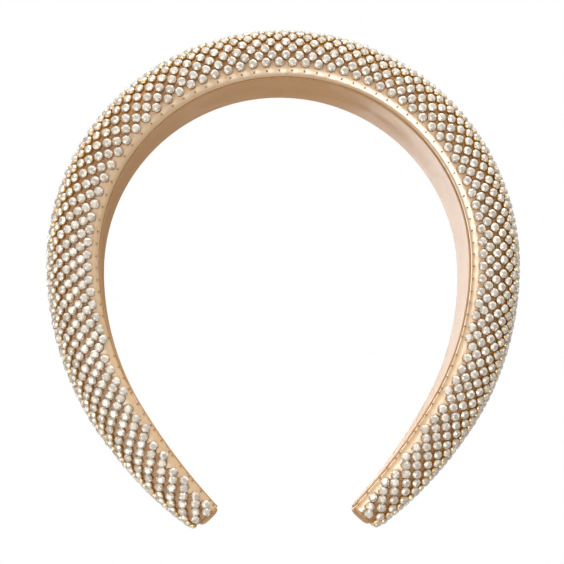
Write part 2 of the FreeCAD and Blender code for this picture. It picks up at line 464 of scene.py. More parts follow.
def add(
    tree: bpy.types.NodeTree, kind: str, settings: dict[Any, Any], links: dict[Any, Any]
) -> bpy.types.Node:
    """Add a node.

    Args:
        tree: the tree it goes in.
        kind: the node's type.
        settings: properties by name, input values by name or number, or a "ramp" of
            (place, colour) stops.
        links: output sockets that feed its inputs, by name or number.

    Returns:
        The node.
    """
    node = tree.nodes.new(kind)
    for key, value in settings.items():
        if key == "ramp":
            stops = node.color_ramp.elements
            while len(stops) < len(value):
                stops.new(0.5)
            for stop, (place, colour) in zip(stops, value):
                stop.position = place
                stop.color = linear(colour)
        elif isinstance(key, str) and hasattr(node, key):
            setattr(node, key, value)
        else:
            node.inputs[key].default_value = value
    for key, source in links.items():
        tree.links.new(source, node.inputs[key])
    return node


def new_material(name: str) -> tuple[bpy.types.Material, bpy.types.NodeTree]:
    """Return an empty node material and its tree."""
    material = bpy.data.materials.new(name)
    material.use_nodes = True
    material.node_tree.nodes.clear()
    return material, material.node_tree


def finished(tree: bpy.types.NodeTree, settings: dict[str, Any], links: dict[str, Any]) -> None:
    """Add the Principled shader and the output to a material's tree."""
    shader = add(tree, "ShaderNodeBsdfPrincipled", settings, links)
    add(tree, "ShaderNodeOutputMaterial", {}, {"Surface": shader.outputs["BSDF"]})


@dataclass(frozen=True)
class WovenSatin:
    """Polyester satin, woven with long floats and heat-set.

    The floats lie along the band, so light smears across them into a soft sheen, and the tone
    drifts a little where the cloth is pulled over the pad. They also act as a smooth clear skin over
    the weave, which turns the satin from tan to near white at a glancing angle.
    """

    name: str
    shade: str
    ground: str
    light: str
    # Real threads are 0.1 mm apart; they are drawn coarser, so that the weave shows at all
    thread: float = 0.42 * MM
    drift: float = 14.0 * MM
    pull: float = 3.5 * MM
    weave_depth: float = 0.045 * MM
    pull_depth: float = 0.22 * MM
    ior: float = 1.53
    roughness: float = 0.42
    specular: float = 1.0
    float_gloss: float = 1.0
    float_roughness: float = 0.36
    float_ior: float = 1.6
    sheen: float = 0.35
    sheen_roughness: float = 0.35
    sheen_tint: str = "#FFF6E8"
    anisotropy: float = 0.45

    def material(self) -> bpy.types.Material:
        """Build the material."""
        material, tree = new_material(self.name)
        cloth = add(tree, "ShaderNodeUVMap", {"uv_map": "cloth"}, {}).outputs["UV"]
        threads = add(
            tree,
            "ShaderNodeTexWave",
            {
                "bands_direction": "Y",
                "Scale": per_metre(self.thread),
                "Distortion": 1.2,
                "Detail": 2.0,
                "Detail Scale": 0.6,
            },
            {"Vector": cloth},
        )
        stretched = add(tree, "ShaderNodeMapping", {"Scale": (0.35, 1.0, 1.0)}, {"Vector": cloth})
        slubs = add(
            tree,
            "ShaderNodeTexNoise",
            {"Scale": 0.5 / self.thread, "Detail": 3.0},
            {"Vector": stretched.outputs["Vector"]},
        )
        drift = add(
            tree, "ShaderNodeTexNoise", {"Scale": 1.0 / self.drift, "Detail": 2.0}, {"Vector": cloth}
        )
        pull = add(
            tree,
            "ShaderNodeTexNoise",
            {"Scale": 1.0 / self.pull, "Detail": 1.0},
            {"Vector": stretched.outputs["Vector"]},
        )
        weave = add(
            tree,
            "ShaderNodeMath",
            {"operation": "MULTIPLY"},
            {0: threads.outputs["Fac"], 1: slubs.outputs["Fac"]},
        )
        # Painted shade: the weave is coloured darker in its hollows and lighter on its floats, by the
        # value that also raises its bump; the slubs in it vary the tone at random
        tone = add(
            tree,
            "ShaderNodeValToRGB",
            {"ramp": ((0.05, self.shade), (0.28, self.ground), (0.62, self.light))},
            {"Fac": weave.outputs["Value"]},
        )
        patch = add(
            tree,
            "ShaderNodeValToRGB",
            {"ramp": ((0.3, self.shade), (0.7, self.light))},
            {"Fac": drift.outputs["Fac"]},
        )
        colour = add(
            tree,
            "ShaderNodeMix",
            {"data_type": "RGBA", "blend_type": "MIX", 0: 0.35},
            {6: tone.outputs["Color"], 7: patch.outputs["Color"]},
        )
        gloss = add(
            tree,
            "ShaderNodeMapRange",
            {"To Min": self.roughness - 0.06, "To Max": self.roughness + 0.08},
            {"Value": slubs.outputs["Fac"]},
        )
        folds = add(
            tree,
            "ShaderNodeBump",
            {"Strength": 0.5, "Distance": self.pull_depth},
            {"Height": pull.outputs["Fac"]},
        )
        relief = add(
            tree,
            "ShaderNodeBump",
            {"Strength": 0.6, "Distance": self.weave_depth},
            {"Height": weave.outputs["Value"], "Normal": folds.outputs["Normal"]},
        )
        finished(
            tree,
            {
                "IOR": self.ior,
                "Specular IOR Level": self.specular,
                "Sheen Weight": self.sheen,
                "Sheen Roughness": self.sheen_roughness,
                "Sheen Tint": linear(self.sheen_tint),
                "Anisotropic": self.anisotropy,
                "Coat Weight": self.float_gloss,
                "Coat Roughness": self.float_roughness,
                "Coat IOR": self.float_ior,
            },
            {
                "Base Color": colour.outputs[2],
                "Roughness": gloss.outputs["Result"],
                "Normal": relief.outputs["Normal"],
            },
        )
        return material


@dataclass(frozen=True)
class FoiledGlass:
    """Pressed glass with a silver foil behind it, fire-polished.

    Each facet's colour is a painted reflection: a tone drawn for each facet, from dark up to a
    painted spark, stands in for the part of the room that it would throw back, under a thin, sharp
    gloss.
    """

    name: str = "foiled_glass"
    # These four colours are painted reflection tones, from a facet that would mirror the dim room to one
    # that would flash
    dark: str = "#938A7E"
    middle: str = "#BBB3A7"
    light: str = "#DAD3C8"
    painted_spark: str = "#F6F2EB"
    cloud: float = 1.1 * MM
    ior: float = 1.54
    metallic: float = 0.1
    roughness: float = 0.38
    coat: float = 0.2
    coat_roughness: float = 0.08

    def material(self) -> bpy.types.Material:
        """Build the material."""
        material, tree = new_material(self.name)
        # Painted reflection: each facet's drawn tone stands in for what that facet would mirror
        tone = add(tree, "ShaderNodeAttribute", {"attribute_name": "facet_tone"}, {})
        where = add(tree, "ShaderNodeTexCoord", {}, {})
        cloud = add(
            tree,
            "ShaderNodeTexNoise",
            {"Scale": 1.0 / self.cloud, "Detail": 1.0},
            {"Vector": where.outputs["Object"]},
        )
        mixed = add(
            tree,
            "ShaderNodeMath",
            {"operation": "MULTIPLY_ADD", 1: 0.3},
            {0: cloud.outputs["Fac"], 2: tone.outputs["Fac"]},
        )
        colour = add(
            tree,
            "ShaderNodeValToRGB",
            {
                "ramp": (
                    (0.15, self.dark),
                    (0.5, self.middle),
                    (0.85, self.light),
                    (1.1 / 1.2, self.painted_spark),
                )
            },
            {"Fac": mixed.outputs["Value"]},
        )
        gloss = add(
            tree,
            "ShaderNodeMapRange",
            {"To Min": self.roughness - 0.06, "To Max": self.roughness + 0.1},
            {"Value": cloud.outputs["Fac"]},
        )
        finished(
            tree,
            {
                "Metallic": self.metallic,
                "IOR": self.ior,
                "Coat Weight": self.coat,
                "Coat Roughness": self.coat_roughness,
                "Coat IOR": self.ior,
            },
            {"Base Color": colour.outputs["Color"], "Roughness": gloss.outputs["Result"]},
        )
        return material


@dataclass(frozen=True)
class StampedBrass:
    """Brass strip, stamped into cups and tumbled bright.

    The warm metal is painted lightest on the rims, a painted highlight, and browner down the walls, as
    painted shade.
    """

    name: str = "stamped_brass"
    # The wall colour is painted shade down the cups, and the rim colour a painted highlight on their
    # rims
    wall: str = "#AC8850"
    rim: str = "#D2B482"
    grain: float = 0.5 * MM
    dent_depth: float = 0.03 * MM
    roughness: float = 0.46

    def material(self) -> bpy.types.Material:
        """Build the material."""
        material, tree = new_material(self.name)
        where = add(tree, "ShaderNodeTexCoord", {}, {})
        grain = add(
            tree,
            "ShaderNodeTexNoise",
            {"Scale": 1.0 / self.grain, "Detail": 3.0},
            {"Vector": where.outputs["Object"]},
        )
        # The rim attribute sets where the painted highlight goes, with the painted shade below it
        rim = add(tree, "ShaderNodeAttribute", {"attribute_name": "rim"}, {})
        mixed = add(
            tree,
            "ShaderNodeMath",
            {"operation": "MULTIPLY_ADD", 1: 0.35},
            {0: grain.outputs["Fac"], 2: rim.outputs["Fac"]},
        )
        colour = add(
            tree,
            "ShaderNodeValToRGB",
            {"ramp": ((0.1, self.wall), (0.9, self.rim))},
            {"Fac": mixed.outputs["Value"]},
        )
        gloss = add(
            tree,
            "ShaderNodeMapRange",
            {"To Min": self.roughness - 0.08, "To Max": self.roughness + 0.12},
            {"Value": grain.outputs["Fac"]},
        )
        dents = add(
            tree,
            "ShaderNodeBump",
            {"Strength": 0.3, "Distance": self.dent_depth},
            {"Height": grain.outputs["Fac"]},
        )
        finished(
            tree,
            {"Metallic": 1.0},
            {
                "Base Color": colour.outputs["Color"],
                "Roughness": gloss.outputs["Result"],
                "Normal": dents.outputs["Normal"],
            },
        )
        return material


@dataclass(frozen=True)
class KnittedNet:
    """Nylon net, warp-knitted and dyed brown.

    Its strands keep the net's brown and its small square holes are painted darker, as painted shade;
    with their relief they give the gaps between the stones a matt, dark grain.
    """

    name: str = "knitted_net"
    hole_shade: str = "#704A22"
    strand: str = "#B38446"
    mesh: float = 0.7 * MM
    depth: float = 0.15 * MM
    drift: float = 6.0 * MM

    def material(self) -> bpy.types.Material:
        """Build the material."""
        material, tree = new_material(self.name)
        cloth = add(tree, "ShaderNodeUVMap", {"uv_map": "cloth"}, {}).outputs["UV"]
        along = add(
            tree,
            "ShaderNodeTexWave",
            {"bands_direction": "X", "Scale": per_metre(self.mesh), "Distortion": 0.6, "Detail": 1.0},
            {"Vector": cloth},
        )
        across = add(
            tree,
            "ShaderNodeTexWave",
            {"bands_direction": "Y", "Scale": per_metre(self.mesh), "Distortion": 0.6, "Detail": 1.0},
            {"Vector": cloth},
        )
        knit = add(
            tree,
            "ShaderNodeMath",
            {"operation": "MAXIMUM"},
            {0: along.outputs["Fac"], 1: across.outputs["Fac"]},
        )
        drift = add(
            tree, "ShaderNodeTexNoise", {"Scale": 1.0 / self.drift, "Detail": 2.0}, {"Vector": cloth}
        )
        mixed = add(
            tree,
            "ShaderNodeMath",
            {"operation": "MULTIPLY"},
            {0: knit.outputs["Value"], 1: drift.outputs["Fac"]},
        )
        # Painted shade in the holes, the net's brown on the strands, with a random drift in tone
        colour = add(
            tree,
            "ShaderNodeValToRGB",
            {"ramp": ((0.1, self.hole_shade), (0.55, self.strand))},
            {"Fac": mixed.outputs["Value"]},
        )
        relief = add(
            tree,
            "ShaderNodeBump",
            {"Strength": 0.7, "Distance": self.depth},
            {"Height": knit.outputs["Value"]},
        )
        gloss = add(
            tree, "ShaderNodeMapRange", {"To Min": 0.7, "To Max": 0.5}, {"Value": knit.outputs["Value"]}
        )
        finished(
            tree,
            {"IOR": 1.53, "Sheen Weight": 0.2},
            {
                "Base Color": colour.outputs["Color"],
                "Roughness": gloss.outputs["Result"],
                "Normal": relief.outputs["Normal"],
            },
        )
        return material


@dataclass(frozen=True)
class TwistedThread:
    """Polyester sewing thread, two plies twisted and dyed.

    The twist runs round the strand as fine slanting lines that catch a dull gloss; the grooves between
    the plies are painted darker, as painted shade.
    """

    name: str = "twisted_thread"
    groove_shade: str = "#916638"
    ply: str = "#C09460"
    twist: float = 0.25 * MM
    groove_depth: float = 0.05 * MM

    def material(self) -> bpy.types.Material:
        """Build the material."""
        material, tree = new_material(self.name)
        where = add(tree, "ShaderNodeTexCoord", {}, {})
        twist = add(
            tree,
            "ShaderNodeTexWave",
            {"bands_direction": "DIAGONAL", "Scale": per_metre(self.twist), "Distortion": 1.0},
            {"Vector": where.outputs["Object"]},
        )
        # Painted shade in the grooves of the twist
        colour = add(
            tree,
            "ShaderNodeValToRGB",
            {"ramp": ((0.2, self.groove_shade), (0.8, self.ply))},
            {"Fac": twist.outputs["Fac"]},
        )
        gloss = add(
            tree, "ShaderNodeMapRange", {"To Min": 0.65, "To Max": 0.45}, {"Value": twist.outputs["Fac"]}
        )
        relief = add(
            tree,
            "ShaderNodeBump",
            {"Strength": 0.5, "Distance": self.groove_depth},
            {"Height": twist.outputs["Fac"]},
        )
        finished(
            tree,
            {"IOR": 1.53},
            {
                "Base Color": colour.outputs["Color"],
                "Roughness": gloss.outputs["Result"],
                "Normal": relief.outputs["Normal"],
            },
        )
        return material


@dataclass(frozen=True)
class CutFoam:
    """Polyurethane foam, cut from a block.

    Open cells show as a fine pitted grain with no gloss; the pits are painted darker, as painted shade.
    """

    name: str = "cut_foam"
    pit_shade: str = "#CDBE9C"
    wall: str = "#EFE6CF"
    cell: float = 0.8 * MM
    pit_depth: float = 0.3 * MM

    def material(self) -> bpy.types.Material:
        """Build the material."""
        material, tree = new_material(self.name)
        where = add(tree, "ShaderNodeTexCoord", {}, {})
        cells = add(
            tree, "ShaderNodeTexVoronoi", {"Scale": 1.0 / self.cell}, {"Vector": where.outputs["Object"]}
        )
        # Painted shade in the pits, the foam's pale colour on the cell walls
        colour = add(
            tree,
            "ShaderNodeValToRGB",
            {"ramp": ((0.1, self.wall), (0.7, self.pit_shade))},
            {"Fac": cells.outputs["Distance"]},
        )
        gloss = add(
            tree,
            "ShaderNodeMapRange",
            {"To Min": 0.95, "To Max": 0.8},
            {"Value": cells.outputs["Distance"]},
        )
        relief = add(
            tree,
            "ShaderNodeBump",
            {"Strength": 0.8, "Distance": self.pit_depth, "invert": True},
            {"Height": cells.outputs["Distance"]},
        )
        finished(
            tree,
            {"IOR": 1.45},
            {
                "Base Color": colour.outputs["Color"],
                "Roughness": gloss.outputs["Result"],
                "Normal": relief.outputs["Normal"],
            },
        )
        return material


@dataclass(frozen=True)
class DrawnAcetal:
    """Acetal strip, extruded and bent warm.

    It is milky, with faint lines left along it by the die, painted darker in their grooves as painted
    shade.
    """

    name: str = "drawn_acetal"
    base: str = "#E8E4DA"
    line: str = "#D2CCBE"
    die_line: float = 0.9 * MM
    line_depth: float = 0.02 * MM

    def material(self) -> bpy.types.Material:
        """Build the material."""
        material, tree = new_material(self.name)
        where = add(tree, "ShaderNodeTexCoord", {}, {})
        lines = add(
            tree,
            "ShaderNodeTexWave",
            {"bands_direction": "Y", "Scale": per_metre(self.die_line), "Distortion": 0.8},
            {"Vector": where.outputs["Object"]},
        )
        # Painted shade: the die lines' grooves take the darker line colour
        colour = add(
            tree,
            "ShaderNodeValToRGB",
            {"ramp": ((0.2, self.line), (0.8, self.base))},
            {"Fac": lines.outputs["Fac"]},
        )
        gloss = add(
            tree, "ShaderNodeMapRange", {"To Min": 0.42, "To Max": 0.3}, {"Value": lines.outputs["Fac"]}
        )
        relief = add(
            tree,
            "ShaderNodeBump",
            {"Strength": 0.2, "Distance": self.line_depth},
            {"Height": lines.outputs["Fac"]},
        )
        finished(
            tree,
            {"IOR": 1.48},
            {
                "Base Color": colour.outputs["Color"],
                "Roughness": gloss.outputs["Result"],
                "Normal": relief.outputs["Normal"],
            },
        )
        return material


@dataclass(frozen=True)
class PaintedBoard:
    """Board, rolled with matt white paint; it gives the eye a plain pale ground."""

    name: str = "painted_board"
    colour: str = "#F4F3F0"
    nap: float = 4.0 * MM
    nap_depth: float = 0.1 * MM

    def material(self) -> bpy.types.Material:
        """Build the material."""
        material, tree = new_material(self.name)
        where = add(tree, "ShaderNodeTexCoord", {}, {})
        nap = add(
            tree, "ShaderNodeTexNoise", {"Scale": 1.0 / self.nap}, {"Vector": where.outputs["Object"]}
        )
        relief = add(
            tree,
            "ShaderNodeBump",
            {"Strength": 0.05, "Distance": self.nap_depth},
            {"Height": nap.outputs["Fac"]},
        )
        finished(
            tree,
            {"Base Color": linear(self.colour), "Roughness": 0.9},
            {"Normal": relief.outputs["Normal"]},
        )
        return material


def dress(piece: Piece, material: bpy.types.Material, nodes: tuple[str, ...]) -> None:
    """Give a piece its material and hide the CAD nodes that it stands for."""
    piece.data.materials.append(material)
    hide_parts(*nodes)


def layer_nodes(layer: str, side: Side) -> tuple[str, str]:
    """Return the CAD nodes of a layer that one half stands for."""
    return layer + "_crown", layer + "_" + side.arm


# ---------------------------------------------------------------- hidden core


@dataclass(frozen=True)
class SpringHoop:
    """The plastic strip that springs the band, with its long edges eased."""

    width_share: float = 0.8
    easing: float = 0.5 * MM
    spacing: float = 2.0 * MM
    steps_across: int = 16

    def build(self, side: Side, material: bpy.types.Material) -> Piece:
        """Build one half."""
        s = stations(side, BAND.end, self.spacing)[:, None]
        reach = self.width_share * BAND.half_width(s, LAYERS.cover_inset)
        share = np.sin(np.linspace(-math.pi / 2.0, math.pi / 2.0, self.steps_across + 1))
        y = reach * share
        ease = self.easing * np.abs(share) ** 8.0
        top = BAND.place(s, y, LAYERS.hoop_level + LAYERS.hoop_thickness - ease)
        under = BAND.place(s, y, LAYERS.hoop_level + ease)
        piece = closed_sheet("spring_hoop_" + side.word, top, under)
        dress(piece, material, layer_nodes("spring_hoop", side))
        BAND.follow(piece, side)
        return piece


@dataclass(frozen=True)
class FoamPad:
    """The foam dome that sits on the hoop."""

    spacing: float = 2.0 * MM
    dome_steps: int = 22
    least_edge: float = 0.1 * MM
    fill: float = 0.9

    def build(self, side: Side, material: bpy.types.Material) -> Piece:
        """Build one half."""
        s = stations(side, BAND.end, self.spacing)
        y, r = both_sides(*BAND.half_outline(s, LAYERS.foam_inset, self.dome_steps, 1))
        y, r = y[:, 1:-1], np.maximum(r[:, 1:-1], LAYERS.foam_level + self.least_edge)
        top = BAND.place(s[:, None], y, r)
        under = BAND.place(s[:, None], y, LAYERS.foam_level + 0.0 * r)
        piece = closed_sheet("foam_pad_" + side.word, top, under)
        dress(piece, material, layer_nodes("foam_pad", side))
        BAND.follow(piece, side)
        return piece


# ---------------------------------------------------------------- rhinestone mesh


@dataclass(frozen=True)
class Seats:
    """Where a half's stones sit on the net, their axes, and how far out w may go beside each."""

    s: Array
    w: Array
    centre: Array
    axes: Array
    room: Array
    outermost: Array


@dataclass(frozen=True)
class StoneGrid:
    """The staggered grid of the rhinestone mesh."""

    row_pitch: float = 2.3 * MM
    column_pitch: float = 2.55 * MM
    edge_margin: float = 1.5 * MM
    # Down the arms the mesh is drawn in: its rows close up and come nearer to the edge
    arm_edge_margin: float = 0.1 * MM
    arm_row_share: float = 0.95
    arm_column_share: float = 0.89
    arm_from: float = 50.0 * MM
    arm_to: float = 120.0 * MM
    end_margin: float = 1.42 * MM
    closest: float = 2.7 * MM
    beside: float = 3.51 * MM
    search_step: float = 0.3 * MM
    most_rows: int = 14
    # On the left arm the mesh was pulled askew as it was sewn on
    skew: float = 0.4 * MM
    skew_from: float = 30.0 * MM
    skew_to: float = 80.0 * MM
    jitter: float = 0.06 * MM
    tilt_deg: float = 4.0
    slope_step: float = 0.5 * MM

    def columns(self) -> Array:
        """Return the s of each half column, evenly spaced along the crest, to a little past the tip."""
        places = []
        s = 0.0
        while s < BAND.end + self.most_rows * self.skew:
            places.append(s)
            _, _, _, bend = BAND.arch.at(s)
            crest = BAND.crest(s, LAYERS.net_inset)
            pitch = self.column_pitch * self.drawn_in(s, 1.0, self.arm_column_share)
            s += float(pitch * bend / (bend + crest))
        return np.array(places)

    def lean(self, s: Array) -> Array:
        """Return how far each row is shifted along s from the one before it."""
        share = np.clip((-s - self.skew_from) / (self.skew_to - self.skew_from), 0.0, 1.0)
        return self.skew * share * share * (3.0 - 2.0 * share)

    def lattice(self, side: Side) -> tuple[Array, Array]:
        """Lay out the rows of the mesh.

        Args:
            side: the half; the stones at the apex go with the right one.

        Returns:
            s and w of every stone that clears the tip.
        """
        columns = self.columns()
        rows = np.arange(-self.most_rows, self.most_rows + 1)
        number, row = np.meshgrid(np.arange(len(columns)), rows, indexing="ij")
        keep = (number + row) % 2 == 0
        if side is Side.LEFT:
            keep &= number > 0
        number, row = number[keep], row[keep]
        s = side.value * columns[number]
        s = s + self.lean(s) * row
        clear = np.abs(s) < BAND.end - self.end_margin
        s, row = s[clear], row[clear]
        return s, row * self.row_pitch * self.drawn_in(s, 1.0, self.arm_row_share)

    def drawn_in(self, s: Array, crown: float, arm: float) -> Array:
        """Return a value that eases from the crown's to the arm's."""
        share = np.clip((np.abs(s) - self.arm_from) / (self.arm_to - self.arm_from), 0.0, 1.0)
        return crown + (arm - crown) * share * share * (3.0 - 2.0 * share)

    def room(self, s: Array) -> Array:
        """Return how far from the crest a stone may sit at each s."""
        margin = self.drawn_in(s, self.edge_margin, self.arm_edge_margin)
        return Ruler(s, LAYERS.net_inset).reach_to(LAYERS.net_edge_level) - margin

    def edge_fill(self, side: Side, s: Array, w: Array) -> tuple[Array, Array]:
        """Fill the notches along both edges and at the tip, where rows stop short.

        Args:
            side: the half.
            s: where the stones are along the band.
            w: where they are across it.

        Returns:
            s and w of the stones that are added.
        """
        last = BAND.end - self.end_margin
        reach = side.value * np.arange(0.0, last, self.search_step)
        room = self.room(reach)
        across = np.arange(-room[-1], room[-1], self.search_step)
        tries_s = np.concatenate([reach, reach, np.full(len(across), side.value * last)])
        tries_w = np.concatenate([room, -room, across])
        bend = BAND.arch.at(tries_s)[3]
        added: list[tuple[float, float]] = []
        for place, out, radius in zip(tries_s, tries_w, bend):
            _, r = Ruler(np.array([place]), LAYERS.net_inset).points(0, np.array([out]))
            stretch = 1.0 + r[0] / radius
            near = np.hypot((s - place) * stretch, w - out).min()
            near_added = [math.hypot((place - old_s) * stretch, out - old_w) for old_s, old_w in added]
            if min(near, *near_added, 1.0) >= self.closest:
                added.append((float(place), float(out)))
        both = np.array(added).reshape(-1, 2)
        return both[:, 0], both[:, 1]

    def seats(self, side: Side) -> Seats:
        """Lay out one half's stones.

        Args:
            side: the half.

        Returns:
            The seats.
        """
        s, w = self.lattice(side)
        fits = np.abs(w) <= self.room(s)
        s, w = s[fits], w[fits]
        extra_s, extra_w = self.edge_fill(side, s, w)
        last_row = np.abs(w) + self.row_pitch > self.room(s)
        if len(extra_s):
            apart = np.hypot(s[:, None] - extra_s[None, :], w[:, None] - extra_w[None, :]).min(axis=1)
            last_row &= apart > self.beside
        outermost = np.concatenate([last_row, np.full(len(extra_s), True)])
        s, w = np.concatenate([s, extra_s]), np.concatenate([w, extra_w])
        random = np.random.default_rng(SEED if side is Side.LEFT else SEED + 1)
        s = s + random.normal(0.0, self.jitter, len(s))
        w = w + random.normal(0.0, self.jitter, len(s))
        steps = np.array([-self.slope_step, 0.0, self.slope_step])
        rulers = [Ruler(s + step, LAYERS.net_inset) for step in steps]
        centres, axes = [], []
        for index in range(len(s)):
            near = w[index] + steps
            grid = [
                BAND.place(s[index] + step, *there.points(index, near))
                for step, there in zip(steps, rulers)
            ]
            along = grid[2][1] - grid[0][1]
            along /= np.linalg.norm(along)
            out = np.cross(along, grid[1][2] - grid[1][0])
            out /= np.linalg.norm(out)
            centres.append(grid[1][1])
            axes.append(np.stack([along, np.cross(out, along), out], axis=-1))
        return Seats(s, w, np.array(centres), np.array(axes), self.room(s), outermost)

    def turned(self, seats: Seats, side: Side) -> Array:
        """Return the seats' axes, each with the stone's own turn and slight tilt."""
        random = np.random.default_rng(SEED + 7 + int(side.value))
        count = len(seats.s)
        spin = random.uniform(0.0, 2.0 * math.pi, count)
        lean = random.normal(0.0, math.radians(self.tilt_deg) / 2.0, (count, 2))
        cosine, sine, zero, one = np.cos(spin), np.sin(spin), np.zeros(count), np.ones(count)
        spun = [cosine, -sine, zero, sine, cosine, zero, zero, zero, one]
        tilted = [one, zero, lean[:, 0], zero, one, lean[:, 1], -lean[:, 0], -lean[:, 1], one]
        tilted, spun = (np.stack(turn, axis=-1).reshape(-1, 3, 3) for turn in (tilted, spun))
        return seats.axes @ tilted @ spun


@dataclass(frozen=True)
class BackingNet:
    """The knitted net that carries the cups, cut close round the edge stones."""

    thickness: float = 0.35 * MM
    scallop: float = 1.62 * MM
    spare: float = 4.0 * MM
    # Between the front edge and the crest the cloth lies at about this share of the crest's height
    mid_height: float = 0.35
    spacing: float = 0.4 * MM
    steps_across: int = 44

    def edge(self, s: Array, room: Array, seats: Seats, back: float) -> Array:
        """Find where the net is cut.

        Args:
            s: places of the sections.
            room: w at the outermost line the net may reach, at each place.
            seats: the stones.
            back: 1 for the back edge, -1 for the front.

        Returns:
            The cut's distance from the crest at each place.
        """
        reach = back * seats.w
        height = BAND.crest(seats.s, LAYERS.net_inset) * self.mid_height
        _, _, _, bend = BAND.arch.at(seats.s)
        apart = (s[:, None] - seats.s[None, :]) * (1.0 + height / bend)[None, :]
        round_it = np.sqrt(np.clip(self.scallop ** 2 - apart ** 2, 0.0, None))
        cover = np.where(np.abs(apart) < self.scallop, reach[None, :] + round_it, 0.0)
        return np.minimum(np.maximum(cover.max(axis=1), room - self.spare), room)

    def build(self, side: Side, seats: Seats, other: Seats, material: bpy.types.Material) -> Piece:
        """Build one half.

        Args:
            side: the half.
            seats: its stones.
            other: the other half's stones, which overhang the apex.
            material: the net's material.

        Returns:
            The piece.
        """
        s = stations(side, BAND.end, self.spacing)
        ruler = Ruler(s, LAYERS.net_inset)
        room = ruler.reach_to(LAYERS.net_edge_level)
        pairs = ((getattr(seats, name), getattr(other, name)) for name in seats.__dict__)
        stones = Seats(*(np.concatenate(pair) for pair in pairs))
        back, front = (self.edge(s, room, stones, way) for way in (1.0, -1.0))
        share = np.linspace(0.0, 1.0, self.steps_across + 1)
        w = -front[:, None] + share * (front + back)[:, None]
        sections = [ruler.points(row, w[row]) for row in range(len(s))]
        y = np.array([section[0] for section in sections])
        r = np.array([section[1] for section in sections])
        normal_y, normal_r = outward(y, r)
        top = BAND.place(s[:, None], y, r)
        under = BAND.place(s[:, None], y - self.thickness * normal_y, r - self.thickness * normal_r)
        piece = closed_sheet("mesh_net_" + side.word, top, under, cloth_map(s[:, None], w))
        dress(piece, material, layer_nodes("mesh_net", side))
        BAND.follow(piece, side)
        return piece


@dataclass(frozen=True)
class StoneCups:
    """The metal cups, each pressed over its stone's edge at four prongs."""

    radius: float = 1.5 * MM
    height: float = 1.1 * MM
    rim_radius: float = 1.43 * MM
    sink: float = 0.12 * MM
    segments: int = 16
    prong_lean: float = 0.07 * MM

    def build(self, side: Side, seats: Seats, turns: Array, material: bpy.types.Material) -> Piece:
        """Build one half's cups.

        Args:
            side: the half.
            seats: the stones' places.
            turns: their axes.
            material: the cups' material.

        Returns:
            The piece.
        """
        profile = [
            (0.0, 0.0),
            (self.radius - 0.1 * MM, 0.0),
            (self.radius, 0.45 * self.height),
            (self.radius, 0.8 * self.height),
            (self.radius - 0.06 * MM, 0.97 * self.height),
            (self.rim_radius + 0.02 * MM, self.height),
            (self.rim_radius - 0.02 * MM, 0.9 * self.height),
            (0.0, 0.8 * self.height),
        ]
        lean = np.where(np.arange(self.segments) % 4 == 0, self.prong_lean, 0.0)
        points, faces = lathe(profile, self.segments, lean)
        points[:, 2] -= self.sink
        placed, copies = stamped(points, faces, seats.centre, turns)
        piece = new_piece("setting_cups_" + side.word, placed, copies)
        # Height up each cup, from the painted shade of its wall to the painted highlight of its rim
        rim = np.clip((points[:, 2] / self.height - 0.4) / 0.5, 0.0, 1.0)
        attribute = piece.data.attributes.new("rim", "FLOAT", "POINT")
        attribute.data.foreach_set("value", np.tile(rim, len(seats.s)).astype(np.float32))
        dress(piece, material, layer_nodes("setting_cups", side))
        BAND.follow(piece, side)
        return piece


